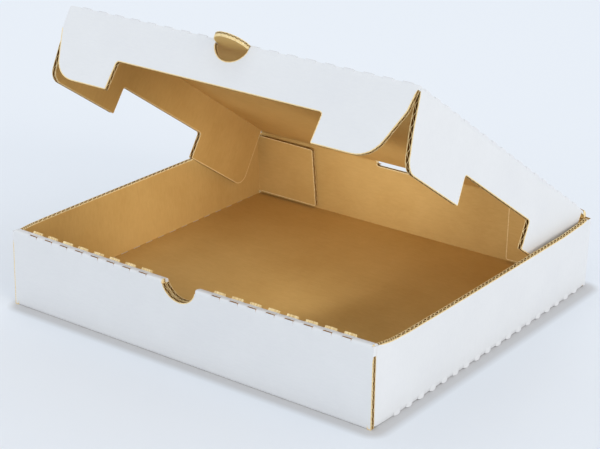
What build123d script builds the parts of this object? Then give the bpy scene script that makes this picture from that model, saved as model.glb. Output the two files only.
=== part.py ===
"""Pizza box: one folded sheet of corrugated board, in millimetres.

The sheet is two solids, split at the hinge crease: the tray and its lid.
X runs to the right along the front wall, Y to the back and Z up.
The origin is on the ground, under the middle of the tray.
"""
from build123d import *
import math
import os

# The closed box, outside
WIDTH = 266.0
DEPTH = 256.0
HEIGHT = 51.0
BOARD = 2.8

# How far the lid stands open, in degrees
LID_ANGLE = 32.6

# Folds: the outer radius of a bend, and the line of cuts along a perforated one
FOLD_RADIUS = 1.2
PERFORATION_PITCH = 12.65
CUT_LENGTH = 6.4
NICK_DEPTH = 1.1
RIDGE_HEIGHT = 0.55

# Tray walls
FRONT_WALL_TOP = 49.4
SIDE_WALL_TOP = 48.0
BACK_WALL_TOP = 48.1
HINGE_LINER = 0.4
ROLL_GAP = 1.0
INNER_PANEL_HALF = 129.7
SIDE_CUTS = 19
SIDE_CUTS_START = -106.4
CREASE_CUTS = 8
CREASE_CUTS_START = 23.9

# Open ends of the flutes, along the top edge of each side wall
LINER = 0.45
FLUTE_PITCH = 4.3
FLUTE_HALF_PAPER = 0.2
FLUTE_CELL_DEPTH = 2.5
FLUTE_ROW_END = 121.0

# Dust flaps, folded in from the ends of the side walls
DUST_FLAP_LENGTH = 52.2
DUST_FLAP_LOW = 5.0
FRONT_DUST_FLAP_HIGH = 46.0
REAR_DUST_FLAP_HIGH = 47.5

# Thumb notch in the rolled front wall: part of a circle whose centre is above the wall
NOTCH_RADIUS = 12.6
NOTCH_CENTRE = 50.8

# Slot across the hinge crease
SLOT_HALF = 29.7
SLOT_BELOW = 4.8
SLOT_ABOVE = 4.0
SLOT_CORNER = 2.0

# Lid panel, measured from the hinge crease
LID_LENGTH = 244.5
LID_REAR_HALF = 129.0
LID_FRONT_HALF = 124.1
LID_START = 0.5
LID_CUTS = 18
LID_CUTS_START = 16.5
LID_FRONT_CUTS = 19
LID_FRONT_CUTS_START = -114.2

# Flaps of the lid: the ears reach lower than the stretch between them
EAR_DEPTH = 45.9
MIDDLE_DEPTH = 27.5
EAR_INNER_ROUND = 2.0
FRONT_EAR_INNER = 73.5
FRONT_EAR_OUTER = 112.0
FRONT_EAR_SHOULDER = 16.0
FRONT_EAR_ROUND = 17.0
SIDE_REAR_TOP = 3.0
SIDE_REAR_START = 6.3
SIDE_REAR_STEP = 3.4
SIDE_REAR_EAR_END = 74.8
SIDE_FRONT_EAR_START = 170.5
SIDE_FRONT_EAR_END = 236.5
SIDE_EAR_ROUND = 9.0
FLAP_SLIT = 0.6

# Half-moon tab, left standing in the lid's plane when the front flap folds down
TAB_RADIUS = 11.4
TAB_HOLE_RADIUS = 12.2

HALF_WIDTH = WIDTH / 2
FRONT_FACE = -DEPTH / 2
BACK_FACE = DEPTH / 2
FRONT_INSIDE = FRONT_FACE + 2 * BOARD + ROLL_GAP
CUTTER = 10.0


def block(low, high):
    """A box between two opposite corners."""
    size = [b - a for a, b in zip(low, high)]
    middle = [(a + b) / 2 for a, b in zip(low, high)]
    return Pos(*middle) * Box(*size)


def both_sides(shape):
    """The shape and its mirror image across the box's middle plane."""
    return [shape, mirror(shape, about=Plane.YZ)]


def along_fold(start, direction, outward, depth, first, count, skip=0.0):
    """Small square bars centred on a fold's outer corner, one for each cut.

    Taken away from the sheet they are nicks, and added to it they are ridges.
    Bars nearer than skip to the middle of the fold's zero point are left out.
    """
    bars = []
    for number in range(count):
        middle = first + number * PERFORATION_PITCH + CUT_LENGTH / 2
        if abs(middle) < skip:
            continue
        centre = Vector(start) + Vector(direction).normalized() * middle
        place = Plane(origin=centre, x_dir=Vector(direction), z_dir=Vector(outward))
        bars.append(place * Box(CUT_LENGTH, 2 * depth, 2 * depth))
    return bars


def flute_cells():
    """Cutter for the triangular cells between the liners, in the right wall's top edge."""
    span = BOARD - 2 * LINER
    half_pitch = FLUTE_PITCH / 2
    slope = math.atan2(span, half_pitch)
    half_base = half_pitch - FLUTE_HALF_PAPER / math.sin(slope)
    tip = span - FLUTE_HALF_PAPER / math.cos(slope)
    outer_cell = make_face(Polyline((0, -half_base), (0, half_base), (-tip, 0), close=True))
    inner_cell = make_face(Polyline((0, half_base), (0, -half_base), (tip, 0), close=True))
    outer_x = WIDTH / 2 - LINER
    cells = []
    for number in range(int(2 * FLUTE_ROW_END / FLUTE_PITCH)):
        y = number * FLUTE_PITCH - FLUTE_ROW_END
        cells.append(Pos(outer_x, y, SIDE_WALL_TOP) * outer_cell)
        cells.append(Pos(outer_x - span, y + half_pitch, SIDE_WALL_TOP) * inner_cell)
    return extrude(Sketch() + cells, amount=-FLUTE_CELL_DEPTH, dir=(0, 0, 1))


def tray():
    """Floor, single side and back walls, rolled front wall and dust flaps."""
    wall_length = DEPTH - 2 * BOARD
    trough = block((-HALF_WIDTH, -wall_length / 2, 0), (HALF_WIDTH, wall_length / 2, SIDE_WALL_TOP))
    bottom = trough.edges().filter_by(Axis.Y).group_by(Axis.Z)[0]
    upright = trough.edges().filter_by(Axis.Z)
    trough = fillet(bottom + upright, FOLD_RADIUS)
    inside = HALF_WIDTH - BOARD
    sheet = trough - block((-inside, -DEPTH, BOARD), (inside, DEPTH, HEIGHT))

    # Rolled front wall: outer panel, flat spine and inner panel
    skin = block((-HALF_WIDTH, FRONT_FACE, 0), (HALF_WIDTH, FRONT_FACE + BOARD, FRONT_WALL_TOP))
    skin = fillet(skin.edges().filter_by(Axis.X).group_by(Axis.Y)[0], FOLD_RADIUS)
    roll = block(
        (-INNER_PANEL_HALF, FRONT_FACE + BOARD / 2, 0),
        (INNER_PANEL_HALF, FRONT_INSIDE, FRONT_WALL_TOP),
    )
    roll = fillet(roll.edges().filter_by(Axis.X).group_by(Axis.Y)[-1].sort_by(Axis.Z)[-1], FOLD_RADIUS)
    hollow = block(
        (-INNER_PANEL_HALF, FRONT_FACE + BOARD, BOARD),
        (INNER_PANEL_HALF, FRONT_INSIDE - BOARD, FRONT_WALL_TOP - BOARD),
    )
    sheet += skin + (roll - hollow)

    # Back wall, with the outer liner running on up to the hinge crease
    back = block((-HALF_WIDTH, BACK_FACE - BOARD, 0), (HALF_WIDTH, BACK_FACE, BACK_WALL_TOP))
    back_edges = back.edges().filter_by(Axis.X).group_by(Axis.Y)[-1]
    back = fillet(back_edges.sort_by(Axis.Z)[0], FOLD_RADIUS)
    liner = block(
        (-LID_REAR_HALF, BACK_FACE - HINGE_LINER, BACK_WALL_TOP),
        (LID_REAR_HALF, BACK_FACE, HEIGHT),
    )
    sheet += back + liner

    # Dust flaps: squeezed inside the front roll, and full thickness at the back
    flap_end = inside - DUST_FLAP_LENGTH
    front_flap = block(
        (flap_end, FRONT_FACE + BOARD, DUST_FLAP_LOW),
        (inside, FRONT_INSIDE - BOARD, FRONT_DUST_FLAP_HIGH),
    )
    rear_flap = block(
        (flap_end, BACK_FACE - 2 * BOARD, DUST_FLAP_LOW),
        (inside, BACK_FACE - BOARD, REAR_DUST_FLAP_HIGH),
    )
    sheet += both_sides(front_flap) + both_sides(rear_flap)

    # Ridges that the rolled crease raises along its inner edge
    ridge_line = (0, FRONT_INSIDE - FOLD_RADIUS, FRONT_WALL_TOP)
    ridges = along_fold(
        ridge_line, (1, 0, 0), (0, -1, 1), RIDGE_HEIGHT / math.sqrt(2),
        CREASE_CUTS_START, CREASE_CUTS,
    )
    for ridge in ridges:
        sheet += both_sides(ridge)

    # Cuts along the front crease and along the bottom folds of the side walls
    crease = (0, FRONT_FACE, FRONT_WALL_TOP)
    nicks = along_fold(
        crease, (1, 0, 0), (0, -1, 1), NICK_DEPTH, CREASE_CUTS_START, CREASE_CUTS,
    )
    corner = (HALF_WIDTH, 0, 0)
    nicks += along_fold(corner, (0, 1, 0), (1, 0, -1), NICK_DEPTH, SIDE_CUTS_START, SIDE_CUTS)
    for nick in nicks:
        sheet -= both_sides(nick)

    sheet -= both_sides(flute_cells())

    # Thumb notch and hinge slot
    notch_centre = Pos(0, FRONT_FACE + BOARD, NOTCH_CENTRE)
    sheet -= notch_centre * Rot(90, 0, 0) * Cylinder(NOTCH_RADIUS, 2 * CUTTER)
    sheet -= hinge_slot()
    return sheet


def hinge_slot():
    """Cutter for the tray's part of the slot across the hinge crease."""
    low = HEIGHT - SLOT_BELOW
    slot = block(
        (-SLOT_HALF, BACK_FACE - 2 * BOARD, low),
        (SLOT_HALF, BACK_FACE + BOARD, HEIGHT + BOARD),
    )
    return fillet(slot.edges().filter_by(Axis.Y).group_by(Axis.Z)[0], SLOT_CORNER)


def outline_flap(plane, corners, rounds):
    """One flap: a rounded outline on a plane, one board thick below that plane."""
    face = make_face(Polyline(*corners, close=True))
    for place, radius in rounds:
        vertex = face.vertices().sort_by_distance(Vector(*place))[0]
        face = fillet(vertex, radius)
    return extrude(plane * face, amount=-BOARD)


def lid_front_flap():
    """Front flap with two ears and the hole that the half-moon tab leaves."""
    top = FOLD_RADIUS
    right = [
        (LID_FRONT_HALF, top),
        (LID_FRONT_HALF - FLAP_SLIT, FRONT_EAR_SHOULDER),
        (FRONT_EAR_OUTER, EAR_DEPTH),
        (FRONT_EAR_INNER, EAR_DEPTH),
        (FRONT_EAR_INNER, MIDDLE_DEPTH),
    ]
    left = [(-across, down) for across, down in reversed(right)]
    rounds = []
    for side in (1, -1):
        rounds.append(((side * FRONT_EAR_OUTER, EAR_DEPTH), FRONT_EAR_ROUND))
        rounds.append(((side * FRONT_EAR_INNER, MIDDLE_DEPTH), EAR_INNER_ROUND))
    face = Plane(origin=(0, -LID_LENGTH, 0), x_dir=(1, 0, 0), z_dir=(0, 1, 0))
    flap = outline_flap(face, right + left, rounds)
    # The plane's normal looks into the lid, so the flap is moved in by one board
    return Pos(0, BOARD, 0) * flap


def lid_side_flap():
    """Right side flap, hanging from the tapered fold, with a rear and a front ear."""
    taper = Vector(LID_FRONT_HALF - LID_REAR_HALF, -LID_LENGTH, 0).normalized()
    outward = taper.cross(Vector(0, 0, -1))
    face = Plane(origin=(LID_REAR_HALF, 0, 0), x_dir=taper, z_dir=outward)
    top = FOLD_RADIUS
    front = LID_LENGTH - BOARD - FLAP_SLIT
    # The rear end clears the dust flap, and above that flap it runs back to the hinge
    corners = [
        (SIDE_REAR_TOP, top),
        (SIDE_REAR_START, SIDE_REAR_STEP),
        (SIDE_REAR_START, EAR_DEPTH),
        (SIDE_REAR_EAR_END, EAR_DEPTH),
        (SIDE_REAR_EAR_END, MIDDLE_DEPTH),
        (SIDE_FRONT_EAR_START, MIDDLE_DEPTH),
        (SIDE_FRONT_EAR_START, EAR_DEPTH),
        (SIDE_FRONT_EAR_END, EAR_DEPTH),
        (front, top),
    ]
    rounds = [
        ((SIDE_REAR_START, EAR_DEPTH), SIDE_EAR_ROUND),
        ((SIDE_REAR_EAR_END, MIDDLE_DEPTH), EAR_INNER_ROUND),
        ((SIDE_FRONT_EAR_START, MIDDLE_DEPTH), EAR_INNER_ROUND),
        ((SIDE_FRONT_EAR_END, EAR_DEPTH), SIDE_EAR_ROUND),
    ]
    return outline_flap(face, corners, rounds)


def lid_panel():
    """Flat top of the lid, narrower at the front, with rounded folds."""
    rear = (LID_REAR_HALF, -LID_START)
    front = (LID_FRONT_HALF, -LID_LENGTH)
    corners = [rear, front, (-front[0], front[1]), (-rear[0], rear[1])]
    panel = extrude(make_face(Polyline(*corners, close=True)), amount=-BOARD)
    folds = panel.edges().group_by(Axis.Z)[-1].sort_by(Axis.Y)[:-1]
    return fillet(folds, FOLD_RADIUS)


def lid():
    """The lid as it lies closed, with its hinge crease along X through the origin."""
    sheet = lid_panel() + lid_front_flap() + both_sides(lid_side_flap())

    # Cuts along the front fold and along both side folds
    front_fold = (0, -LID_LENGTH, 0)
    nicks = along_fold(
        front_fold, (1, 0, 0), (0, -1, 1), NICK_DEPTH,
        LID_FRONT_CUTS_START, LID_FRONT_CUTS, TAB_HOLE_RADIUS + CUT_LENGTH / 2,
    )
    for nick in nicks:
        sheet -= nick
    side_fold = (LID_REAR_HALF, 0, 0)
    along = Vector(LID_FRONT_HALF - LID_REAR_HALF, -LID_LENGTH, 0)
    for nick in along_fold(side_fold, along, (1, 0, 1), NICK_DEPTH, LID_CUTS_START, LID_CUTS):
        sheet -= both_sides(nick)

    # Half-moon: a hole in the front flap, and the tab that it leaves in the lid's plane
    hole = Pos(0, -LID_LENGTH, 0) * Rot(90, 0, 0) * Cylinder(TAB_HOLE_RADIUS, 2 * BOARD)
    sheet -= hole
    disc = Pos(0, -LID_LENGTH, -BOARD / 2) * Cylinder(TAB_RADIUS, BOARD)
    tab = disc & block((-CUTTER * 2, -2 * LID_LENGTH, -BOARD), (CUTTER * 2, BOARD - LID_LENGTH, 0))
    root = block(
        (-TAB_HOLE_RADIUS, -LID_LENGTH, -BOARD),
        (TAB_HOLE_RADIUS, -LID_LENGTH + BOARD + FOLD_RADIUS, 0),
    )
    base = root & block((-TAB_RADIUS, -LID_LENGTH, -BOARD), (TAB_RADIUS, 0, 0))
    sheet += tab + base

    # The lid's part of the hinge slot
    slot = block((-SLOT_HALF, -SLOT_ABOVE, -CUTTER), (SLOT_HALF, CUTTER, CUTTER))
    slot = fillet(slot.edges().filter_by(Axis.Z).group_by(Axis.Y)[0], SLOT_CORNER)
    return sheet - slot


os.makedirs("parts", exist_ok=True)
open_lid = Pos(0, BACK_FACE, HEIGHT) * Rot(-LID_ANGLE, 0, 0) * lid()
export_step(tray(), "parts/tray.step")
export_step(open_lid, "parts/lid.step")
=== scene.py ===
"""Looks of the pizza box: a folded sheet of corrugated board, white outside and kraft inside.

Lengths are millimetres in the row frame, and are turned into metres where a mesh is made.
X runs to the right along the front wall, Y to the back and Z up.
"""
import math
import bmesh
import bpy
import numpy as np
from mathutils import Matrix, Vector
from mathutils.geometry import delaunay_2d_cdt


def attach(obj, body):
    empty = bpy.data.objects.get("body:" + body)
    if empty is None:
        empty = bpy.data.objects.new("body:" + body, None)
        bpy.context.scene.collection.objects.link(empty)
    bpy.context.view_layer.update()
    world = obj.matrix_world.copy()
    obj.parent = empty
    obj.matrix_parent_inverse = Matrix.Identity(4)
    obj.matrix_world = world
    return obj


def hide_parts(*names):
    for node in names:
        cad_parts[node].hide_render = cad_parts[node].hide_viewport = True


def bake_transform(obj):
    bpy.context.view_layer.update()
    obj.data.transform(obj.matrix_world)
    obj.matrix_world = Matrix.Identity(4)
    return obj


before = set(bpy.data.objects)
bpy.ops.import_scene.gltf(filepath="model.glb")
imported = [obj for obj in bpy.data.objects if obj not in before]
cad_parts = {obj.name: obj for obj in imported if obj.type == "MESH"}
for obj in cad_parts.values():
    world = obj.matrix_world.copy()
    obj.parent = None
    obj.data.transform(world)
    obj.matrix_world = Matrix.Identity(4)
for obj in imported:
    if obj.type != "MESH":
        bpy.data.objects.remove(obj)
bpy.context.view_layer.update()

MM = 0.001

# The box, as in the part's source
WIDTH = 266.0
DEPTH = 256.0
HEIGHT = 51.0
BOARD = 2.8
LID_ANGLE = math.radians(32.6)
SIDE_WALL_TOP = 48.0
FRONT_WALL_TOP = 49.4
ROLL_WIDTH = 6.6
INNER_PANEL_HALF = 129.7
DUST_FLAP_LENGTH = 52.2
DUST_FLAP_LOW = 5.0
FRONT_DUST_FLAP_HIGH = 46.0
NOTCH_RADIUS = 12.6
NOTCH_CENTRE = 50.8
SLOT_HALF = 29.7
SLOT_BELOW = 4.8
SLOT_ABOVE = 4.0
LID_LENGTH = 244.5
LID_REAR_HALF = 129.0
LID_FRONT_HALF = 124.1
EAR_DEPTH = 45.9
MIDDLE_DEPTH = 27.5
EAR_INNER_ROUND = 2.0
FRONT_EAR_INNER = 73.5
FRONT_EAR_OUTER = 112.0
FRONT_EAR_SHOULDER = 16.0
FRONT_EAR_ROUND = 17.0
SIDE_REAR_TOP = 3.0
SIDE_REAR_START = 6.3
SIDE_REAR_EAR_END = 74.8
SIDE_FRONT_EAR_START = 170.5
SIDE_EAR_ROUND = 9.0
TAB_RADIUS = 11.4
TAB_HOLE_RADIUS = 12.2
HALF = WIDTH / 2
FRONT = -DEPTH / 2
BACK = DEPTH / 2

# Cuts along the perforated folds, and each row's first cut and number of cuts
PITCH = 12.65
CUT = 6.4
CREASE_CUTS = (HALF + 23.9, 8)
SIDE_CUTS = (-106.4, 19)
LID_SIDE_CUTS = (16.1, 18)
LID_FRONT_CUTS = (-114.2, 19)

# How far each cut's start and end lie from their place in the row where the front wall rolls
# over: its outer crease has slits, and its inner one has longer bumps
SLIT_ENDS = (0.4, -0.3)
BUMP_ENDS = (-1.9, -0.7)

# Outlines that differ a little from the source, where the photograph shows more
WALL_FOOT = 0.9
DUST_FLAP_HIGH = 47.1
DUST_FLAP_ROUND = 1.5
SIDE_REAR_STEP = 2.95
SIDE_FRONT_EAR_END = 235.6
SIDE_NOSE = (240.0, 24.0, 20.0)
EAR_TIP_ROUND = 0.8
FRONT_FLAP_INSET = 0.2
SHOULDER_INSET = 1.2
SHOULDER_ROUND = 6.0
SLOT_ROUND = 1.8
LID_SLOT_ROUND = 0.4
BACK_INSET = 0.2
BACK_SHOULDER = 0.6
ROLL_END = 1.2
ROLL_SHOULDER = 0.9
ROLL_COVERED = 6.5
HINGE_GAP = 0.6
HINGE_TUCK = 1.2

# Build-up of the board
LINER = 0.38
CORE = (LINER, BOARD - LINER)
TAB_CORE = (LINER, 1.3)
MEDIUM = 0.26
RECESS = 2.6
FLUTE_PITCH = 6.4
FRONT_FLUTE_PITCH = 5.2
WALL_FLUTE_PITCH = 4.3
TAB_FLUTE_PITCH = 2.6

# A side wall's last stretch is cut at a slant, and its waves look closer
COMB_LENGTH = 15.0
COMB_PITCH = 1.9

# Waves on a cut edge: the share of the board's depth that they fill, steps a wave, where they
# start and end in the recess, and how unevenly they run
WAVE_FILL = 0.86
WAVE_STEPS = 14
WAVE_FRONT = 0.03
WAVE_BACK = 0.97
WAVE_ROUND = 0.8
WAVE_KNOT = 18.0
WAVE_WANDER = 0.32
WAVE_CRUSHED = 0.86

# The folded sheet isn't quite square: how far each corner lies from its place, as in the
# photograph. Order: front left, front right, rear right, rear left.
FOOT_SHIFT = ((0.2, 0.7, 0), (1.0, 0, 0), (-0.3, 0, 0), (0, -0.2, 0))
TOP_SHIFT = ((0, 0.4, 0.2), (0, 0.2, 1.0), (0, -0.7, -0.5), (-2.0, -0.9, 0.1))
LID_SHIFT = ((-0.6, -0.4), (0.5, 0.3))
LID_SLIP = -0.6
EAR_SWAY_LOST = 0.45

# Bends of the panels, and how far the flaps lean out, in degrees
WALL_BULGE = {1: 3.4, -1: 1.8}
BULGE_SHARE = ((0, 0.04, 0.1, 0.35, 0.6, 0.85, 0.97, 1), (0, 0.7, 0.95, 1, 0.9, 0.8, 0.3, 0))
FOOT_SHARE = 0.3
FRONT_BOW = 2.2
ROLL_TILT = (0.3, -0.9)
DUST_FLAP_ENDS = {-1: (54.0, 51.5, 1.6), 1: (56.6, 56.4, 0.7)}
FRONT_FLARE = (4.7, 4.2)
SIDE_FLARE = {-1: (-0.4, 4.5), 1: (1.4, 7.2)}
TAB_BEND = 0.13

# A lip's middle rises by this share of what its tip does
LIP_MIDDLE = 0.15

# Width of the torn, uncoated border along a cut edge
RIM = 0.55

# Fineness of the meshes
OUTLINE_STEP = 3.0
ROUND_STEP = 9.0
BEND_STEP = 6.0
LIP_POINTS = 9
NOTCH_STEPS = 22
TAB_STEPS = 20
MITRE_LIMIT = 0.6
SMOOTH_ANGLE = math.radians(35.0)

# Material slots of every sheet mesh
WHITE, KRAFT, EDGE, FLUTE = range(4)


def vec(*numbers):
    return np.array(numbers, float)


def unit(v):
    return v / np.linalg.norm(v)


class Mesh:
    """Collects closed shells, each with faces that look outward, into one object."""

    def __init__(self):
        self.points = []
        self.blank = []
        self.faces = []
        self.materials = []
        self.count = 0

    def shell(self, points, blank, faces, materials):
        """One closed shell: its faces are turned outward before they are added."""
        work = bmesh.new()
        made = [work.verts.new(p) for p in points]
        for corner_numbers, material in zip(faces, materials):
            corners = [made[i] for i in corner_numbers]
            if len(set(corners)) < 3:
                continue
            try:
                work.faces.new(corners).material_index = material
            except ValueError:
                continue
        bmesh.ops.recalc_face_normals(work, faces=work.faces)
        work.verts.index_update()
        self.points.append(np.asarray(points, float))
        self.blank.append(np.asarray(blank, float))
        for face in work.faces:
            self.faces.append([v.index + self.count for v in face.verts])
            self.materials.append(face.material_index)
        self.count += len(points)
        work.free()

    def build(self, name, materials, move):
        """The object, with its points moved and in metres, and its creases kept sharp."""
        mesh = bpy.data.meshes.new(name)
        points = move(np.concatenate(self.points)) * MM
        mesh.from_pydata([tuple(p) for p in points], [], self.faces)
        mesh.polygons.foreach_set("material_index", self.materials)
        attribute = mesh.attributes.new("blank", "FLOAT_VECTOR", "POINT")
        attribute.data.foreach_set("vector", (np.concatenate(self.blank) * MM).ravel())
        for material in materials:
            mesh.materials.append(material)
        mesh.update()
        obj = bpy.data.objects.new(name, mesh)
        bpy.context.scene.collection.objects.link(obj)
        work = bmesh.new()
        work.from_mesh(mesh)
        bmesh.ops.delete(work, geom=[v for v in work.verts if not v.link_faces], context="VERTS")
        for edge in work.edges:
            edge.smooth = len(edge.link_faces) == 2 and edge.calc_face_angle(0.0) < SMOOTH_ANGLE
        for face in work.faces:
            face.smooth = True
        work.to_mesh(mesh)
        work.free()
        return obj


class Panel:
    """A flat panel of the sheet.

    A point is given by u and v on the white outer face and by w, its depth below that face.
    A warp adds a small offset, which bends or twists the panel.
    """

    def __init__(
        self, origin, across, along, inward,
        blank=(0.0, 0.0), turn=False, warp=None, thickness=BOARD,
    ):
        self.origin = vec(*origin)
        self.across = vec(*across)
        self.along = vec(*along)
        self.inward = vec(*inward)
        self.blank = blank
        self.turn = turn
        self.warp = warp
        self.thickness = thickness

    def at(self, u, v, w):
        u, v, w = np.broadcast_arrays(np.asarray(u, float), v, w)
        p = self.origin + u[..., None] * self.across + v[..., None] * self.along
        p = p + (w * self.thickness / BOARD)[..., None] * self.inward
        if self.warp is not None:
            p = p + self.warp(u, v, w)
        return p

    def sheet(self, u, v, w):
        """Where a point lies in the flat blank, for the paper's grain."""
        u, v, w = np.broadcast_arrays(np.asarray(u, float), v, w)
        a, b = (v, u) if self.turn else (u, v)
        return np.stack([a + self.blank[0], b + self.blank[1], w], axis=-1)


def arc(centre, radius, start, end, steps):
    """Points on an arc, angles in degrees, as corners with no rounding on cut edges."""
    out = []
    for i in range(steps + 1):
        t = math.radians(start + (end - start) * i / steps)
        out.append((centre[0] + radius * math.cos(t), centre[1] + radius * math.sin(t), 0.0, "cut"))
    return out


def rectangle(low_u, low_v, high_u, high_v, kinds):
    """Corners of a rectangle, with the kinds of its edges from the lowest corner on."""
    places = ((low_u, low_v), (high_u, low_v), (high_u, high_v), (low_u, high_v))
    return [(u, v, 0, kind) for (u, v), kind in zip(places, kinds)]


def loop(corners):
    """A closed outline from corners (u, v, rounding, kind of the edge that follows)."""
    points = []
    kinds = []
    n = len(corners)
    starts = []
    for i in range(n):
        u, v, radius, kind = corners[i]
        here = vec(u, v)
        if radius <= 0:
            starts.append(([here], kind))
            continue
        before = unit(vec(*corners[i - 1][:2]) - here)
        after = unit(vec(*corners[(i + 1) % n][:2]) - here)
        half = math.acos(np.clip(before @ after, -1, 1)) / 2
        reach = radius / math.tan(half)
        centre = here + unit(before + after) * radius / math.sin(half)
        first = here + before * reach - centre
        last = here + after * reach - centre
        sweep = math.pi - 2 * half
        side = np.sign(first[0] * last[1] - first[1] * last[0])
        steps = max(3, int(math.degrees(sweep) / ROUND_STEP))
        bend = []
        for k in range(steps + 1):
            t = side * sweep * k / steps
            turn = np.array([[math.cos(t), -math.sin(t)], [math.sin(t), math.cos(t)]])
            bend.append(centre + turn @ first)
        starts.append((bend, kind))
    for i in range(n):
        bend, kind = starts[i]
        for p in bend[:-1]:
            points.append(p)
            kinds.append("cut")
        here = bend[-1]
        there = starts[(i + 1) % n][0][0]
        pieces = max(1, int(np.linalg.norm(there - here) / OUTLINE_STEP))
        for k in range(pieces):
            points.append(here + (there - here) * k / pieces)
            kinds.append(kind)
    return np.array(points), kinds


def inside(point, ring):
    """Whether a point lies inside a closed ring."""
    x, y = point
    a = ring
    b = np.roll(ring, -1, axis=0)
    crosses = (a[:, 1] > y) != (b[:, 1] > y)
    with np.errstate(divide="ignore", invalid="ignore"):
        at = a[:, 0] + (y - a[:, 1]) * (b[:, 0] - a[:, 0]) / (b[:, 1] - a[:, 1])
    return bool(np.count_nonzero(crosses & (x < at)) % 2)


def triangulate(ring, spacing):
    """Points and triangles over a ring and a grid in it, and what each point came from."""
    n = len(ring)
    points = [tuple(p) for p in ring]
    edges = [(i, (i + 1) % n) for i in range(n)]
    low = ring.min(axis=0)
    high = ring.max(axis=0)
    for u in np.arange(low[0] + spacing / 2, high[0], spacing):
        for v in np.arange(low[1] + spacing / 2, high[1], spacing):
            if np.min(np.sum((ring - (u, v)) ** 2, axis=1)) > (spacing / 2) ** 2:
                points.append((u, v))
    out = delaunay_2d_cdt([Vector(p) for p in points], edges, [], 0, 1e-5)
    flat = np.array([tuple(p) for p in out[0]])
    triangles = [list(face) for face in out[2] if inside(flat[list(face)].mean(axis=0), ring)]
    return flat, triangles, out[3]


def ring_normals(ring, kinds):
    """Unit directions into the board at each point of a ring that has the board on its left."""
    step = np.roll(ring, -1, axis=0) - ring
    step /= np.linalg.norm(step, axis=1)[:, None]
    normal = np.stack([-step[:, 1], step[:, 0]], axis=1)
    out = np.zeros_like(ring)
    n = len(ring)
    for i in range(n):
        after = kinds[i] == "cut"
        before = kinds[i - 1] == "cut"
        if after and before:
            total = normal[i] + normal[i - 1]
            out[i] = total / max(MITRE_LIMIT, total @ total / 2)
        elif after:
            out[i] = normal[i]
        elif before:
            out[i] = normal[i - 1]
    return out


def plate(
    mesh, panel, corners, pitch=FLUTE_PITCH, phase=0.0, spacing=7.0, recess=RECESS,
    fill=WAVE_FILL, medium=MEDIUM, comb=None, core=CORE, hollow=FLUTE,
):
    """A board panel: two liners, and along each cut edge the open end of the flutes.

    An edge is "cut", or "fold" where a fold carries on, or "covered" by white liner. The
    flutes lie between the two depths in core, and hollow is the material behind them.
    """
    ring, kinds = loop(corners)
    n = len(ring)
    normals = ring_normals(ring, kinds)
    inset = ring + normals * recess
    border = [kinds[i] == "cut" and kinds[i - 1] == "cut" for i in range(n)]
    outline = np.where(np.array(border)[:, None], ring + normals * RIM, ring)
    flat, triangles, sources = triangulate(outline, spacing)
    points = []
    blank = []
    faces = []
    materials = []

    def add(uv, w):
        start = len(points)
        for u, v in uv:
            points.append(panel.at(u, v, w))
            blank.append(panel.sheet(u, v, w))
        return start

    def face(material, numbers):
        faces.append(list(numbers))
        materials.append(material)

    outer = add(flat, 0.0)
    inner = add(flat, BOARD)
    for triangle in triangles:
        face(WHITE, [outer + i for i in triangle])
        face(KRAFT, [inner + i for i in triangle])
    where = {number: i for i, source in enumerate(sources) for number in source}
    levels = [add(ring, w) for w in (0.0, *core, BOARD)]
    deep = [add(inset, w) for w in core]

    def corner(level, i):
        if level in (0, 3) and not border[i]:
            return (outer if level == 0 else inner) + where[i]
        return levels[level] + i

    for i in range(n):
        j = (i + 1) % n
        for level, liner in ((0, outer), (3, inner)):
            strip = [corner(level, i), corner(level, j), liner + where[j], liner + where[i]]
            if len(set(strip)) > 2:
                face(EDGE, dict.fromkeys(strip))
        skin = WHITE if kinds[i] == "covered" else EDGE
        for a, b in ((0, 1), (2, 3)):
            face(skin, (corner(a, i), corner(a, j), corner(b, j), corner(b, i)))
        if kinds[i] != "cut":
            face(skin, (corner(1, i), corner(1, j), corner(2, j), corner(2, i)))
            continue
        for level, floor in enumerate(deep, 1):
            face(FLUTE, (corner(level, i), corner(level, j), floor + j, floor + i))
        face(hollow, (deep[0] + i, deep[0] + j, deep[1] + j, deep[1] + i))
        for k, beside in ((i, kinds[i - 1]), (j, kinds[j])):
            if beside != "cut":
                face(FLUTE, (corner(1, k), deep[0] + k, deep[1] + k, corner(2, k)))
    mesh.shell(points, blank, faces, materials)
    for chain in cut_chains(kinds):
        flutes(mesh, panel, ring[chain], inset[chain], pitch, phase, fill, medium, comb, core)


def cut_chains(kinds):
    """Runs of cut edges, as lists of point numbers around the ring."""
    n = len(kinds)
    if "cut" not in kinds:
        return []
    if all(kind == "cut" for kind in kinds):
        return [list(range(n)) + [0]]
    first = next(i for i in range(n) if kinds[i] == "cut" and kinds[i - 1] != "cut")
    chains = []
    run = []
    for k in range(n):
        i = (first + k) % n
        if kinds[i] == "cut":
            run = run or [i]
            run.append((i + 1) % n)
        elif run:
            chains.append(run)
            run = []
    if run:
        chains.append(run)
    return chains


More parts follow.
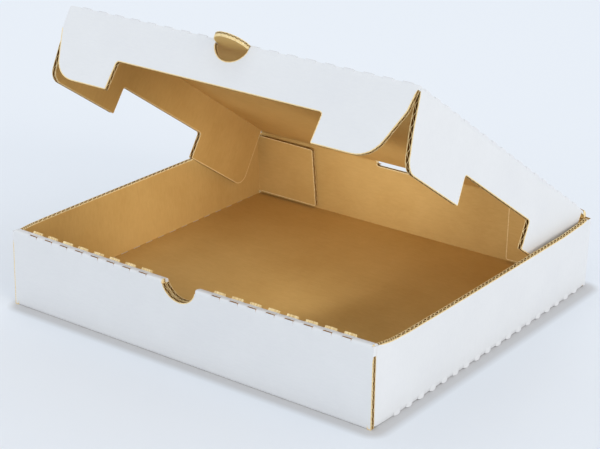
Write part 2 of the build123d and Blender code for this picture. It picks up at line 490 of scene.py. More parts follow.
def flutes(mesh, panel, edge, deep, pitch, phase, fill, medium, comb, core):
    """The wavy paper between the liners, seen along one run of cut edges.

    Beyond the length given as comb the paper is cut at a slant, and its waves look closer.
    """
    run = np.concatenate([[0], np.cumsum(np.linalg.norm(np.diff(edge, axis=0), axis=1))])
    length = run[-1]
    steps = max(4, int(length / pitch * WAVE_STEPS))
    s = np.linspace(0, length, steps)
    edge = np.stack([np.interp(s, run, edge[:, k]) for k in (0, 1)], axis=1)
    deep = np.stack([np.interp(s, run, deep[:, k]) for k in (0, 1)], axis=1)
    front = edge + (deep - edge) * WAVE_FRONT
    back = edge + (deep - edge) * WAVE_BACK
    swing = ((core[1] - core[0]) / 2 - medium / 2) * fill
    rng = np.random.default_rng(int(length * 100))
    knots = np.linspace(0, length, max(2, int(length / WAVE_KNOT) + 2))
    wander = np.interp(s, knots, rng.normal(0, WAVE_WANDER, len(knots)))
    height = np.interp(s, knots, rng.uniform(WAVE_CRUSHED, 1.0, len(knots)))
    turns = s / pitch
    if comb is not None:
        turns = turns + np.maximum(s - comb, 0) * (1 / COMB_PITCH - 1 / pitch)
    wave = np.sin(2 * math.pi * turns + phase + wander)
    wave = np.sign(wave) * np.abs(wave) ** WAVE_ROUND
    w = (core[0] + core[1]) / 2 + swing * height * wave
    points = []
    blank = []
    for uv, lift in ((front, -medium / 2), (front, medium / 2), (back, medium / 2), (back, -medium / 2)):
        points.append(panel.at(uv[:, 0], uv[:, 1], w + lift))
        blank.append(panel.sheet(uv[:, 0], uv[:, 1], w + lift))
    faces = []
    materials = []
    for i in range(steps - 1):
        for k in range(4):
            a = k * steps
            b = ((k + 1) % 4) * steps
            faces.append([a + i, a + i + 1, b + i + 1, b + i])
            materials.append(EDGE if k == 0 else FLUTE)
    for i in (0, steps - 1):
        faces.append([k * steps + i for k in range(4)])
        materials.append(EDGE)
    mesh.shell(np.concatenate(points), np.concatenate(blank), faces, materials)


class Fold:
    """A fold between two panels' edges.

    Each side is a panel with the two ends of its edge and the direction out to the corner.
    """

    def __init__(self, panel_a, a0, a1, out_a, panel_b, b0, b1, out_b, crisp=1.6):
        self.sides = (
            (panel_a, vec(*a0), vec(*a1), vec(*out_a)),
            (panel_b, vec(*b0), vec(*b1), vec(*out_b)),
        )
        self.length = float(np.linalg.norm(self.sides[0][2] - self.sides[0][1]))
        self.crisp = crisp

    def edge(self, k, s, beyond=0.0):
        """A side's panel, and u and v along its edge or beyond it."""
        panel, start, end, out = self.sides[k]
        t = np.asarray(s, float) / self.length
        uv = start + t[..., None] * (end - start) + out * np.asarray(beyond)[..., None]
        return panel, uv[..., 0], uv[..., 1]

    def side(self, k, s, w, beyond=0.0):
        panel, u, v = self.edge(k, s, beyond)
        return panel.at(u, v, w)

    def bend(self, mesh, s0, s1, steps=7, cap=EDGE, tuck=None):
        """The unbroken board between two cuts, rounded outside and creased inside.

        A tuck carries the inside on past the edges, so that it covers the fold when it opens.
        """
        s = np.linspace(s0, s1, max(2, int((s1 - s0) / BEND_STEP) + 1))
        a, b = self.side(0, s, 0.0), self.side(1, s, 0.0)
        corner = (self.side(0, s, 0.0, BOARD) + self.side(1, s, 0.0, BOARD)) / 2
        rows = []
        for i in range(steps + 1):
            t = i / steps
            k0, k1, k2 = (1 - t) ** 2, 2 * self.crisp * t * (1 - t), t ** 2
            rows.append((k0 * a + k1 * corner + k2 * b) / (k0 + k1 + k2))
        rows.append(self.side(1, s, BOARD))
        if tuck:
            rows += [self.side(1, s, BOARD, tuck), self.side(0, s, BOARD, tuck)]
        rows.append(self.side(0, s, BOARD))
        inside = [KRAFT] * (len(rows) - steps - 2)
        self.prism(mesh, rows, s, [WHITE] * steps + [EDGE, *inside, EDGE], cap)

    def prism(self, mesh, rows, s, materials_round, cap):
        """A closed bar through the rows of points, with a material for each of its sides."""
        n = len(s)
        points = np.concatenate(rows)
        panel, u, v = self.edge(0, s)
        blank = np.concatenate([panel.sheet(u, v, 0.0)] * len(rows))
        blank[:, 2] += np.repeat(np.arange(len(rows)), n) * 0.1
        faces = []
        materials = []
        count = len(rows)
        for k in range(count):
            a, b = k * n, ((k + 1) % count) * n
            for i in range(n - 1):
                faces.append([a + i, a + i + 1, b + i + 1, b + i])
                materials.append(materials_round[k])
        for i in (0, n - 1):
            faces.append([k * n + i for k in range(count)])
            materials.append(cap)
        mesh.shell(points, blank, faces, materials)

    def lips(self, mesh, s0, s1, lift, tip, slit, body=FLUTE, arch=0.0):
        """The two cut edges of the board where the fold is cut through."""
        s = np.linspace(s0, s1, LIP_POINTS)
        centre = s[LIP_POINTS // 2:][:1]
        bow = 1 - (2 * (s - s0) / (s1 - s0) - 1) ** 2
        root = (self.side(0, s, BOARD) + self.side(1, s, BOARD)) / 2
        for k in (0, 1):
            edge = self.side(k, s, 0.0)
            inward = unit(self.side(k, centre, BOARD)[0] - self.side(k, centre, 0.0)[0])
            out = self.side(k, s, 0.0, BOARD - tip[k] - arch * (1 - bow)) - bow[:, None] * lift[k] * inward
            middle = (edge + out) / 2 - bow[:, None] * lift[k] * LIP_MIDDLE * inward
            liner = out + inward * LINER
            rows = [edge, middle, out, liner, root]
            self.prism(mesh, rows, s, [WHITE, WHITE, slit, body, body], slit)

    def run(self, mesh, cuts=(), cap=EDGE, **lips):
        """The whole fold, with lips at the cuts and bends between them."""
        at = 0.0
        for c0, c1 in sorted(cuts):
            if c0 <= at or c1 >= self.length:
                continue
            self.bend(mesh, at, c0, cap=cap)
            self.lips(mesh, c0, c1, **lips)
            at = c1
        self.bend(mesh, at, self.length, cap=cap)


def cut_row(first, count):
    """Start and end of each cut in a row."""
    return [(first + k * PITCH, first + k * PITCH + CUT) for k in range(count)]


X, Y, Z = np.eye(3)
HINGE = vec(0, BACK, HEIGHT)
LID_ALONG = vec(0, -math.cos(LID_ANGLE), math.sin(LID_ANGLE))
LID_DOWN = vec(0, -math.sin(LID_ANGLE), -math.cos(LID_ANGLE))


def move_tray(points):
    """Points of the tray, moved with its corners."""
    a = np.clip((points[:, 0] + HALF) / WIDTH, 0, 1)[:, None]
    b = np.clip((points[:, 1] - FRONT) / DEPTH, 0, 1)[:, None]
    c = np.clip(points[:, 2] / HEIGHT, 0, 1)[:, None]
    out = points.copy()
    for share, foot, top in zip(((1 - a) * (1 - b), a * (1 - b), a * b, (1 - a) * b), FOOT_SHIFT, TOP_SHIFT):
        out += share * ((1 - c) * vec(*foot) + c * vec(*top))
    return out


def move_lid(points):
    """Points of the lid, moved with the hinge and with the lid's front corners."""
    hinge_line = np.stack([points[:, 0], np.full(len(points), BACK), np.full(len(points), HEIGHT)], axis=1)
    low = np.clip((points - HINGE) @ LID_DOWN / EAR_DEPTH, 0, 1)[:, None]
    shift = move_tray(hinge_line) - hinge_line
    out = points + shift * (1 - EAR_SWAY_LOST * X * low)
    a = np.clip(points[:, 0] / LID_REAR_HALF / 2 + 0.5, 0, 1)[:, None]
    reach = np.clip((points - HINGE) @ LID_ALONG / LID_LENGTH, 0, 1.1)[:, None]
    for share, (along, down) in zip((1 - a, a), LID_SHIFT):
        out += share * reach * (along * LID_ALONG + down * LID_DOWN)
    return out + reach * LID_SLIP * X


def build_tray():
    """Every panel and fold of the tray, in one mesh."""
    mesh = Mesh()
    t = BOARD
    floor = Panel((-HALF, FRONT, 0), X, Y, Z)
    plate(mesh, floor, rectangle(t, t, WIDTH - t, DEPTH - t, ["fold"] * 4), spacing=12.0)
    build_front_wall(mesh, floor)
    for sign in (1, -1):
        build_side_wall(mesh, floor, sign)
    build_back_wall(mesh, floor)
    return mesh


def build_front_wall(mesh, floor):
    """The rolled front wall: outer panel, spine, inner panel and the folds between them.

    Its top leans in a little, and its middle bows out.
    """
    t = BOARD
    top = FRONT_WALL_TOP
    right = WIDTH - t
    rise = NOTCH_CENTRE - top
    notch_edge = math.sqrt(NOTCH_RADIUS ** 2 - (t + rise) ** 2)
    notch_half = math.sqrt(NOTCH_RADIUS ** 2 - rise ** 2)
    first = math.degrees(math.asin((t + rise) / NOTCH_RADIUS))

    def bow(x, y, z):
        share = np.clip((x + HALF) / WIDTH, 0, 1)
        high = np.clip(z / top, 0, 1)
        out = -FRONT_BOW * np.sin(math.pi * share) * high ** 1.5
        back = np.clip((y - FRONT) / ROLL_WIDTH, 0, 1)
        drop = (ROLL_TILT[0] + back * (ROLL_TILT[1] - ROLL_TILT[0])) * high ** 6
        return out[..., None] * Y + drop[..., None] * Z

    front = Panel((-HALF, FRONT, 0), X, Z, Y, blank=(0, -80))
    front.warp = lambda u, v, w: bow(u - HALF, FRONT + w, v)
    shoulder = top - ROLL_SHOULDER
    covered = top - ROLL_COVERED
    corners = [
        (t, t, 0, "fold"), (right, t, 0, "cut"), (right, 0, 0, "cut"), (WIDTH, 0, 0, "cut"),
        (WIDTH, covered, 0, "covered"), (WIDTH, shoulder, 0, "covered"),
        (WIDTH - ROLL_END, shoulder, 0, "covered"), (WIDTH - ROLL_END, top - t, 0, "fold"),
        *arc((HALF, NOTCH_CENTRE), NOTCH_RADIUS, -first, first - 180, NOTCH_STEPS)[:-1],
        (HALF - notch_edge, top - t, 0, "fold"), (ROLL_END, top - t, 0, "covered"),
        (ROLL_END, shoulder, 0, "covered"), (0, shoulder, 0, "covered"), (0, covered, 0, "cut"),
        (0, 0, 0, "cut"), (t, 0, 0, "cut"),
    ]
    plate(mesh, front, corners, pitch=FRONT_FLUTE_PITCH, fill=0.7)

    spine = Panel((-HALF, FRONT, top), X, Y, -Z, blank=(0, -90))
    spine.warp = lambda u, v, w: bow(u - HALF, FRONT + v, top - w)
    rear = ROLL_WIDTH - t
    left_span = (ROLL_END, HALF - notch_half)
    right_span = (HALF + notch_half, WIDTH - ROLL_END)
    for (low, high), kinds in (
        (left_span, ("fold", "cut", "fold", "covered")),
        (right_span, ("fold", "covered", "fold", "cut")),
    ):
        plate(mesh, spine, rectangle(low, t, high, rear, kinds), recess=1.2)

    inner_face = FRONT + ROLL_WIDTH
    inner = Panel((-HALF, inner_face, top), X, -Z, -Y, blank=(0, -150))
    inner.warp = lambda u, v, w: bow(u - HALF, inner_face - w, top - v)
    side = HALF - INNER_PANEL_HALF
    corners = [
        (side, top - t, 0, "cut"), (side, t, 0, "fold"), (HALF - notch_edge, t, 0, "cut"),
        *arc((HALF, -rise), NOTCH_RADIUS, 180 - first, first, NOTCH_STEPS)[1:-1],
        (HALF + notch_edge, t, 0, "fold"), (WIDTH - side, t, 0, "cut"),
        (WIDTH - side, top - t, 0, "cut"),
    ]
    plate(mesh, inner, corners, pitch=FRONT_FLUTE_PITCH, phase=1.7)

    # Top creases of the roll, one fold each side of the notch
    crease_cuts = cut_row(*CREASE_CUTS)
    crease_cuts += [(WIDTH - b, WIDTH - a) for a, b in crease_cuts]
    for low, high in (left_span, right_span):
        cuts = [(a - low, b - low) for a, b in crease_cuts if low < a and b < high]
        outer_fold = Fold(
            front, (low, top - t), (high, top - t), (0, 1),
            spine, (low, t), (high, t), (0, -1),
        )
        slits = [(a + SLIT_ENDS[0], b + SLIT_ENDS[1]) for a, b in cuts]
        # The slits' cut faces take the darker flute paper: partly the cut board's own brown, partly painted
        # shade inside the slits
        outer_fold.run(mesh, slits, lift=(0.1, 0.1), tip=(0.3, 0.6), slit=FLUTE)
        inner_fold = Fold(
            spine, (low, rear), (high, rear), (0, 1),
            inner, (low, t), (high, t), (0, -1),
        )
        bumps = [(a + BUMP_ENDS[0], b + BUMP_ENDS[1]) for a, b in cuts]
        inner_fold.run(mesh, bumps, lift=(0.0, 0.2), tip=(1.2, -1.1), slit=EDGE, body=EDGE, cap=WHITE)
    bottom = Fold(floor, (t, t), (right, t), (0, -1), front, (t, t), (right, t), (0, -1), crisp=5.0)
    bottom.run(mesh)


def build_back_wall(mesh, floor):
    """Back wall, up to the hinge crease, and its bottom fold."""
    t = BOARD
    back = back_panel()
    right = WIDTH - t
    end = WIDTH - BACK_INSET
    slot_low = HEIGHT - SLOT_BELOW
    crease = HEIGHT - t - HINGE_GAP
    shoulder = SIDE_WALL_TOP - BACK_SHOULDER
    corners = [
        (t, t, 0, "fold"), (right, t, 0, "covered"), (right, 0, 0, "covered"),
        (end, 0, 0, "covered"), (end, shoulder, 0, "cut"),
        (HALF + LID_REAR_HALF, crease, 0, "fold"), (HALF + SLOT_HALF, crease, 0, "cut"),
        (HALF + SLOT_HALF, slot_low, SLOT_ROUND, "cut"),
        (HALF - SLOT_HALF, slot_low, SLOT_ROUND, "cut"),
        (HALF - SLOT_HALF, crease, 0, "fold"), (HALF - LID_REAR_HALF, crease, 0, "cut"),
        (BACK_INSET, shoulder, 0, "covered"), (BACK_INSET, 0, 0, "covered"), (t, 0, 0, "covered"),
    ]
    plate(mesh, back, corners)
    bottom = Fold(
        floor, (right, DEPTH - t), (t, DEPTH - t), (0, 1),
        back, (t, t), (right, t), (0, -1), crisp=2.2,
    )
    bottom.run(mesh)


def back_panel():
    return Panel((HALF, BACK, 0), -X, Z, -Y, blank=(0, 300))


def build_side_wall(mesh, floor, sign):
    """One side wall, its bottom fold and the dust flaps at its ends."""
    t = BOARD
    low, high = 2 * t, DEPTH - 2 * t

    def bulge(u, v, w):
        share = np.clip((u - low) / (DEPTH - 4 * t), 0, 1)
        rise = np.clip(v / SIDE_WALL_TOP, 0, 1.1)
        swell = np.interp(share, *BULGE_SHARE) * (FOOT_SHARE + (1 - FOOT_SHARE) * rise ** 1.2)
        return (WALL_BULGE[sign] * swell)[..., None] * vec(sign, 0, 0)

    wall = Panel((sign * HALF, FRONT, 0), Y, Z, (-sign, 0, 0), blank=(-60, 0), turn=True, warp=bulge)
    plate(
        mesh, wall, rectangle(low, t, high, SIDE_WALL_TOP, ("fold", "fold", "cut", "fold")),
        pitch=WALL_FLUTE_PITCH, fill=1.0, medium=0.7, recess=0.8,
        comb=DEPTH - 4 * t - COMB_LENGTH, hollow=KRAFT,
    )
    floor_u = WIDTH - t if sign > 0 else t
    bottom = Fold(
        floor, (floor_u, low), (floor_u, high), (sign, 0),
        wall, (low, t), (high, t), (0, -1), crisp=4.0,
    )
    cuts = [(a - FRONT - low, b - FRONT - low) for a, b in cut_row(*SIDE_CUTS)]
    bottom.run(mesh, cuts, lift=(0.0, 0.65), tip=(0.6, 0.1), arch=0.35, slit=WHITE, body=WHITE, cap=WHITE)

    # Rear dust flap, full thickness, folded against the back wall
    flap_end = t + DUST_FLAP_LENGTH
    low_end, high_end, lean = DUST_FLAP_ENDS[sign]

    def leaning(u, v, w):
        away = np.clip(u / flap_end, 0, 1) ** 1.5
        away = away * (FOOT_SHARE + (1 - FOOT_SHARE) * v / DUST_FLAP_HIGH)
        return (-lean * away)[..., None] * Y

    rear = Panel((sign * HALF, BACK - t, 0), (-sign, 0, 0), Z, -Y, blank=(0, 340), warp=leaning)
    corners = [
        (t, DUST_FLAP_LOW, 0, "cut"), (low_end, DUST_FLAP_LOW, DUST_FLAP_ROUND, "cut"),
        (high_end, DUST_FLAP_HIGH, DUST_FLAP_ROUND, "cut"), (t, DUST_FLAP_HIGH, 0, "fold"),
    ]
    plate(mesh, rear, corners)
    rear_fold = Fold(
        wall, (high, WALL_FOOT), (high, DUST_FLAP_HIGH), (1, 0),
        rear, (t, WALL_FOOT), (t, DUST_FLAP_HIGH), (-1, 0), crisp=30.0,
    )
    rear_fold.run(mesh, cap=WHITE)

    # Front dust flap, squeezed between the front wall's two panels
    thin = ROLL_WIDTH - 2 * t
    squeezed = Panel((sign * HALF, FRONT + t, 0), (-sign, 0, 0), Z, Y, blank=(0, -40), thickness=thin)
    kinds = ("cut", "cut", "cut", "fold")
    plate(mesh, squeezed, rectangle(t, DUST_FLAP_LOW, flap_end, FRONT_DUST_FLAP_HIGH, kinds))
    front_fold = Fold(
        wall, (low, WALL_FOOT), (low, SIDE_WALL_TOP), (-1, 0),
        squeezed, (t, WALL_FOOT), (t, SIDE_WALL_TOP), (-1, 0),
    )
    front_fold.run(mesh, cap=WHITE)


def lid_panel():
    return Panel(HINGE, X, LID_ALONG, LID_DOWN)


def lid_half(v):
    """Half the lid's width at a distance from the hinge crease."""
    return LID_REAR_HALF + (LID_FRONT_HALF - LID_REAR_HALF) * v / LID_LENGTH


def build_lid():
    """Lid panel, its three flaps and the half-moon tab, in one mesh."""
    mesh = Mesh()
    t = BOARD
    top = lid_panel()
    top.warp = lambda u, v, w: -(np.maximum(v - LID_LENGTH + t, 0) * TAB_BEND)[..., None] * LID_DOWN
    side_start = SIDE_REAR_TOP + HINGE_GAP
    crease = t + HINGE_GAP
    front_v = LID_LENGTH - t
    rear_half = lid_half(side_start)
    front_half = lid_half(front_v)
    corners = [
        (-LID_REAR_HALF, crease, 0, "fold"), (-SLOT_HALF, crease, 0, "cut"),
        (-SLOT_HALF, SLOT_ABOVE, LID_SLOT_ROUND, "cut"),
        (SLOT_HALF, SLOT_ABOVE, LID_SLOT_ROUND, "cut"),
        (SLOT_HALF, crease, 0, "fold"), (LID_REAR_HALF, crease, 0, "cut"),
        (rear_half, side_start, 0, "cut"), (rear_half - t, side_start, 0, "fold"),
        (front_half - t, front_v, 0, "fold"), (t - front_half, front_v, 0, "fold"),
        (t - rear_half, side_start, 0, "cut"), (-rear_half, side_start, 0, "cut"),
    ]
    plate(mesh, top, corners)

    # The half-moon tab: the punch has crushed the lower part of its edge
    corners = [
        (-TAB_RADIUS, front_v, 0, "fold"), (TAB_RADIUS, front_v, 0, "cut"),
        *arc((0, LID_LENGTH), TAB_RADIUS, 0, 180, TAB_STEPS),
    ]
    plate(mesh, top, corners, pitch=TAB_FLUTE_PITCH, recess=1.0, spacing=4.0, core=TAB_CORE)

    # Front flap, leaning out a little, with its two ears and the half-moon hole
    def flare(u, v, w):
        lean = np.radians(np.interp(u, (-LID_FRONT_HALF, LID_FRONT_HALF), FRONT_FLARE))
        out = v * np.sin(lean) - w * (1 - np.cos(lean))
        up = v * (1 - np.cos(lean)) + w * np.sin(lean)
        return out[..., None] * LID_ALONG - up[..., None] * LID_DOWN

    flap = Panel(HINGE + LID_LENGTH * LID_ALONG, X, LID_DOWN, -LID_ALONG, blank=(0, 260), warp=flare)
    half = LID_FRONT_HALF
    hole = math.degrees(math.asin(t / TAB_HOLE_RADIUS))
    hole_edge = TAB_HOLE_RADIUS * math.cos(math.radians(hole))
    end = half - FRONT_FLAP_INSET
    shoulder = half - SHOULDER_INSET
    corners = [
        (end, t, 0, "cut"), (shoulder, FRONT_EAR_SHOULDER, SHOULDER_ROUND, "cut"),
        (FRONT_EAR_OUTER, EAR_DEPTH, FRONT_EAR_ROUND, "cut"),
        (FRONT_EAR_INNER, EAR_DEPTH, EAR_TIP_ROUND, "cut"),
        (FRONT_EAR_INNER, MIDDLE_DEPTH, EAR_INNER_ROUND, "cut"),
        (-FRONT_EAR_INNER, MIDDLE_DEPTH, EAR_INNER_ROUND, "cut"),
        (-FRONT_EAR_INNER, EAR_DEPTH, EAR_TIP_ROUND, "cut"),
        (-FRONT_EAR_OUTER, EAR_DEPTH, FRONT_EAR_ROUND, "cut"),
        (-shoulder, FRONT_EAR_SHOULDER, SHOULDER_ROUND, "covered"), (-end, t, 0, "fold"),
        (-hole_edge, t, 0, "cut"),
        *arc((0, 0), TAB_HOLE_RADIUS, 180 - hole, hole, TAB_STEPS)[1:-1],
        (hole_edge, t, 0, "fold"),
    ]
    plate(mesh, flap, corners)
    cuts = cut_row(*LID_FRONT_CUTS)
    for low, high in ((-end, -hole_edge), (hole_edge, end)):
        fold = Fold(top, (low, front_v), (high, front_v), (0, 1), flap, (low, t), (high, t), (0, -1))
        part = [(a - low, b - low) for a, b in cuts if low < a and b < high]
        fold.run(mesh, part, lift=(0.05, 0.05), tip=(0.05, 0.12), slit=WHITE, body=WHITE, cap=WHITE)

    for sign in (1, -1):
        build_lid_side(mesh, top, sign, side_start, front_v)
    return mesh


def build_lid_side(mesh, top, sign, side_start, side_end):
    """One side flap of the lid, leaning out more towards its front end, and its fold."""
    t = BOARD
    rear = HINGE + sign * LID_REAR_HALF * X
    front = HINGE + sign * LID_FRONT_HALF * X + LID_LENGTH * LID_ALONG
    taper = unit(front - rear)
    outward = sign * unit(np.cross(LID_DOWN, taper))
    if outward @ (sign * X) < 0:
        outward = -outward
    slant = np.linalg.norm(front - rear) / LID_LENGTH

    def flare(u, v, w):
        lean = np.radians(np.interp(u, (0, LID_LENGTH), SIDE_FLARE[sign]))
        return (v * np.sin(lean))[..., None] * outward - (v * (1 - np.cos(lean)))[..., None] * LID_DOWN

    flap = Panel(rear, taper, LID_DOWN, -outward, blank=(160, 0), turn=True, warp=flare)
    a, b = side_start * slant, side_end * slant
    corners = [
        (a, t, 0, "fold"), (b, t, 0, "cut"), (*SIDE_NOSE, "cut"),
        (SIDE_FRONT_EAR_END, EAR_DEPTH, SIDE_EAR_ROUND, "cut"),
        (SIDE_FRONT_EAR_START, EAR_DEPTH, EAR_TIP_ROUND, "cut"),
        (SIDE_FRONT_EAR_START, MIDDLE_DEPTH, EAR_INNER_ROUND, "cut"),
        (SIDE_REAR_EAR_END, MIDDLE_DEPTH, EAR_INNER_ROUND, "cut"),
        (SIDE_REAR_EAR_END, EAR_DEPTH, EAR_TIP_ROUND, "cut"),
        (SIDE_REAR_START, EAR_DEPTH, SIDE_EAR_ROUND, "cut"),
        (SIDE_REAR_START, SIDE_REAR_STEP, 0, "cut"),
    ]
    plate(mesh, flap, corners)
    inset0 = (sign * (lid_half(side_start) - t), side_start)
    inset1 = (sign * (lid_half(side_end) - t), side_end)
    fold = Fold(top, inset0, inset1, (sign, 0), flap, (a, t), (b, t), (0, -1))
    cuts = [(p - a, q - a) for p, q in cut_row(*LID_SIDE_CUTS)]
    fold.run(mesh, cuts, lift=(0.15, 0.1), tip=(0.1, 0.3), slit=WHITE, body=WHITE, cap=WHITE)


def build_hinge():
    """The creased strip of board that bends between the back wall and the lid."""
    mesh = Mesh()
    back = back_panel()
    top = lid_panel()
    wall_v = HEIGHT - BOARD - HINGE_GAP
    lid_v = BOARD + HINGE_GAP
    for low, high in ((-LID_REAR_HALF, -SLOT_HALF), (SLOT_HALF, LID_REAR_HALF)):
        fold = Fold(
            back, (HALF - low, wall_v), (HALF - high, wall_v), (0, 1),
            top, (low, lid_v), (high, lid_v), (0, -1), crisp=1.3,
        )
        fold.bend(mesh, 0.0, fold.length, steps=10, tuck=HINGE_TUCK)
    return mesh


class Nodes:
    """A material's node tree, with short calls for its nodes and links."""

    def __init__(self, name):
        self.material = bpy.data.materials.new(name)
        self.material.use_nodes = True
        self.tree = self.material.node_tree
        self.tree.nodes.clear()
        self.output = self.new("ShaderNodeOutputMaterial")
        self.shader = self.new("ShaderNodeBsdfPrincipled")
        self.link(self.shader, "BSDF", self.output, "Surface")

    def new(self, kind, **values):
        node = self.tree.nodes.new(kind)
        for key, value in values.items():
            if hasattr(node, key):
                setattr(node, key, value)
            else:
                node.inputs[key.replace("_", " ")].default_value = value
        return node

    def link(self, a, out, b, into):
        self.tree.links.new(a.outputs[out], b.inputs[into])

    def noise(self, where, scale, detail, rough, stretch=(1, 1, 1)):
        mapping = self.new("ShaderNodeMapping")
        mapping.inputs["Scale"].default_value = stretch
        self.tree.links.new(where, mapping.inputs["Vector"])
        noise = self.new("ShaderNodeTexNoise", Scale=scale, Detail=detail, Roughness=rough)
        self.link(mapping, "Vector", noise, "Vector")
        return noise.outputs["Fac"]

    def ramp(self, value, stops):
        node = self.new("ShaderNodeValToRGB")
        ramp = node.color_ramp
        ramp.elements[0].position, ramp.elements[0].color = stops[0]
        ramp.elements[1].position, ramp.elements[1].color = stops[-1]
        for position, colour in stops[1:-1]:
            ramp.elements.new(position).color = colour
        self.tree.links.new(value, node.inputs["Fac"])
        return node.outputs["Color"]

    def mix(self, factor, a, b):
        node = self.new("ShaderNodeMix", data_type="RGBA")
        for value, slot in ((factor, 0), (a, 6), (b, 7)):
            if isinstance(value, (int, float, tuple)):
                node.inputs[slot].default_value = value
            else:
                self.tree.links.new(value, node.inputs[slot])
        return node.outputs[2]

    def math(self, operation, a, b=0.0):
        node = self.new("ShaderNodeMath", operation=operation)
        for i, value in enumerate((a, b)):
            if isinstance(value, (int, float)):
                node.inputs[i].default_value = value
            else:
                self.tree.links.new(value, node.inputs[i])
        return node.outputs["Value"]

    def bump(self, height, strength, distance):
        node = self.new("ShaderNodeBump", Strength=strength, Distance=distance)
        self.tree.links.new(height, node.inputs["Height"])
        self.link(node, "Normal", self.shader, "Normal")

    def blank(self):
        """Position on the flat blank, in metres."""
        return self.new("ShaderNodeAttribute", attribute_name="blank").outputs["Vector"]


def srgb(r, g, b):
    """A colour given in 0..255 display values, as linear RGBA."""
    out = []
    for c in (r, g, b):
        c /= 255.0
        out.append(c / 12.92 if c <= 0.04045 else ((c + 0.055) / 1.055) ** 2.4)
    return (*out, 1.0)


def paper(name, base, dark, light, fleck, roughness, ridge):
    """Liner paper: mottled fibres on the flat blank, with faint ridges over the flutes."""
    nodes = Nodes(name)
    where = nodes.blank()
    cloud = nodes.noise(where, scale=22.0, detail=4.0, rough=0.6)
    fibre = nodes.noise(where, scale=900.0, detail=3.0, rough=0.6, stretch=(0.25, 1.0, 1.0))
    speck = nodes.noise(where, scale=1500.0, detail=2.0, rough=0.7)
    mottled = nodes.ramp(cloud, [(0.32, dark), (0.5, base), (0.7, light)])
    fibres = nodes.ramp(fibre, [(0.3, dark), (0.5, base), (0.72, light)])
    colour = nodes.mix(0.4, mottled, fibres)
    spots = nodes.ramp(speck, [(0.68, (0, 0, 0, 1)), (0.76, (1, 1, 1, 1))])
    colour = nodes.mix(nodes.math("MULTIPLY", spots, 0.35), colour, fleck)
    nodes.tree.links.new(colour, nodes.shader.inputs["Base Color"])
    nodes.shader.inputs["Roughness"].default_value = roughness
    nodes.shader.inputs["Specular IOR Level"].default_value = 0.25
    split = nodes.new("ShaderNodeSeparateXYZ")
    nodes.tree.links.new(where, split.inputs[0])
    angle = nodes.math("MULTIPLY", split.outputs["Y"], 2 * math.pi / (FLUTE_PITCH * MM))
    wave = nodes.math("SINE", angle)
    height = nodes.math("ADD", nodes.math("MULTIPLY", wave, ridge), nodes.math("MULTIPLY", fibre, 0.5))
    nodes.bump(height, strength=0.35, distance=0.0003)
    return nodes.material


def plain_paper(name, base, dark):
    """Cut paper: raw fibres with no liner finish."""
    nodes = Nodes(name)
    where = nodes.blank()
    grain = nodes.noise(where, scale=1400.0, detail=3.0, rough=0.7)
    colour = nodes.ramp(grain, [(0.3, dark), (0.65, base)])
    nodes.tree.links.new(colour, nodes.shader.inputs["Base Color"])
    nodes.shader.inputs["Roughness"].default_value = 0.8
    nodes.shader.inputs["Specular IOR Level"].default_value = 0.15
    nodes.bump(grain, strength=0.4, distance=0.0002)
    return nodes.material


def sheet_materials():
    """The four materials of the board, in the order of the material slots."""
    white = paper(
        "white_liner", base=srgb(222, 224, 226), dark=srgb(219, 221, 224),
        light=srgb(225, 227, 229), fleck=srgb(204, 204, 203), roughness=0.62, ridge=0.1,
    )
    kraft = paper(
        "kraft_liner", base=srgb(202, 166, 101), dark=srgb(194, 157, 92),
        light=srgb(210, 175, 110), fleck=srgb(164, 128, 70), roughness=0.72, ridge=0.08,
    )
    edge = plain_paper("cut_edge", srgb(252, 234, 184), srgb(206, 170, 106))
    flute = plain_paper("flute_paper", srgb(176, 130, 66), srgb(128, 88, 38))
    return [white, kraft, edge, flute]


def add_light(name, kind, power, facing, place=(0, 0, 0)):
    """A light that shines along facing. Its object is returned, to set what else it has."""
    data = bpy.data.lights.new(name, kind)
    data.energy = power
    light = bpy.data.objects.new(name, data)
    light.location = place
    light.rotation_euler = Vector(facing).to_track_quat("-Z", "Y").to_euler()
    bpy.context.scene.collection.objects.link(light)
    return light


def add_sun(name, source, power, colour=(1, 1, 1)):
    """Even light from far away, from the direction of source."""
    sun = add_light(name, "SUN", power, -Vector(source))
    sun.data.angle = math.radians(40.0)
    sun.data.color = colour


def add_spot(name, place, target, width, power, flat):
    """A spot whose cone is width degrees wide, and less high by the factor flat."""
    spot = add_light(name, "SPOT", power, Vector(target) - Vector(place), place)
    spot.data.spot_size = math.radians(width)
    spot.data.spot_blend = 1.0
    spot.data.shadow_soft_size = 0.005
    spot.scale = (1, flat, 1)


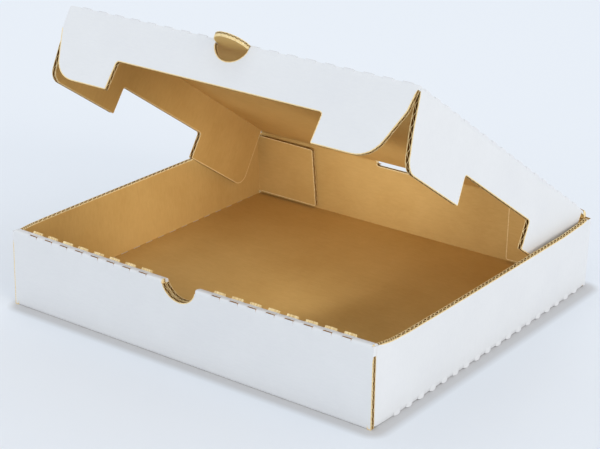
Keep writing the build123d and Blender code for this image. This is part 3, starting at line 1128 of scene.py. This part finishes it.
def build_stage():
    """Pale ground with a soft shadow around the box's foot, a pale sky, and the lights."""
    bpy.ops.mesh.primitive_plane_add(size=30.0, location=(0, 0, 0))
    ground = bpy.context.object
    ground.name = "studio_floor"
    nodes = Nodes("studio_floor")
    split = nodes.new("ShaderNodeSeparateXYZ")
    where = nodes.new("ShaderNodeNewGeometry").outputs["Position"]
    nodes.tree.links.new(where, split.inputs[0])

    # The shadow's middle, the rounding of its corners and how far it reaches, in metres
    shadow_middle = {"X": 0.004, "Y": -0.002}
    shadow_round = 0.004
    shadow_width = 0.0125
    squares = []
    for axis, half in (("X", HALF * MM), ("Y", BACK * MM)):
        offset = nodes.math("SUBTRACT", split.outputs[axis], shadow_middle[axis])
        past = nodes.math("SUBTRACT", nodes.math("ABSOLUTE", offset), half - shadow_round)
        gap = nodes.math("MAXIMUM", past)
        squares.append(nodes.math("MULTIPLY", gap, gap))
    away = nodes.math("SQRT", nodes.math("ADD", *squares))
    shade = nodes.ramp(nodes.math("DIVIDE", away, shadow_width), [
        (0.0, srgb(203, 202, 202)), (0.55, srgb(205, 205, 206)),
        (0.8, srgb(220, 223, 227)), (1.0, srgb(231, 235, 240)),
    ])
    nodes.tree.links.new(shade, nodes.shader.inputs["Base Color"])
    nodes.shader.inputs["Roughness"].default_value = 1.0
    nodes.shader.inputs["Specular IOR Level"].default_value = 0.0
    ground.data.materials.append(nodes.material)
    world = bpy.data.worlds.new("studio")
    bpy.context.scene.world = world
    world.use_nodes = True
    background = world.node_tree.nodes["Background"]
    background.inputs["Color"].default_value = srgb(246, 250, 255)
    background.inputs["Strength"].default_value = 0.94
    top = add_light("top", "AREA", 3.0, facing=(0.5, -0.5, -1.85), place=(-0.5, 0.5, 1.9))
    top.data.shape = "DISK"
    top.data.size = 0.9
    add_sun("right", (1.0, -0.3, 0.16), 1.15, (1.0, 0.92, 0.83))
    add_sun("front", (-0.3, -1.0, 0.2), 0.25)

    # Two spots inside the tray bring up its walls, which the photograph shows evenly lit
    add_spot("far wall", (0.05, -0.108, 0.038), (0.055, 0.128, 0.052), width=85.0, power=0.62, flat=0.45)
    add_spot("left wall", (0.07, -0.085, 0.038), (-0.133, 0.1, 0.038), width=90.0, power=0.75, flat=0.6)
    bpy.context.scene.view_settings.view_transform = "Standard"


def build_camera():
    """The photograph's view."""
    azimuth = math.radians(35.07)
    elevation = math.radians(21.446)
    roll = math.radians(-1.705)
    place = Vector((580.6, -837.0, 447.7)) * MM
    forward = Vector((
        -math.sin(azimuth) * math.cos(elevation),
        math.cos(azimuth) * math.cos(elevation),
        -math.sin(elevation),
    ))
    right = Vector((math.cos(azimuth), math.sin(azimuth), 0))
    down = forward.cross(right)
    right_rolled = math.cos(roll) * right + math.sin(roll) * down
    down_rolled = -math.sin(roll) * right + math.cos(roll) * down
    data = bpy.data.cameras.new("photo")
    data.sensor_width = 36.0
    data.lens = 104.23
    data.clip_start = 0.01
    camera = bpy.data.objects.new("photo", data)
    camera.matrix_world = Matrix((
        (right_rolled.x, -down_rolled.x, -forward.x, place.x),
        (right_rolled.y, -down_rolled.y, -forward.y, place.y),
        (right_rolled.z, -down_rolled.z, -forward.z, place.z),
        (0, 0, 0, 1),
    ))
    bpy.context.scene.collection.objects.link(camera)
    bpy.context.scene.camera = camera


build_camera()
build_stage()
SHEET = sheet_materials()

tray = build_tray().build("tray_sheet", SHEET, move_tray)
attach(tray, "tray")
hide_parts("tray")

lid = build_lid().build("lid_sheet", SHEET, move_lid)
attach(lid, "lid")
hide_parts("lid")

hinge = build_hinge().build("hinge_crease", SHEET, move_lid)
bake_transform(hinge)
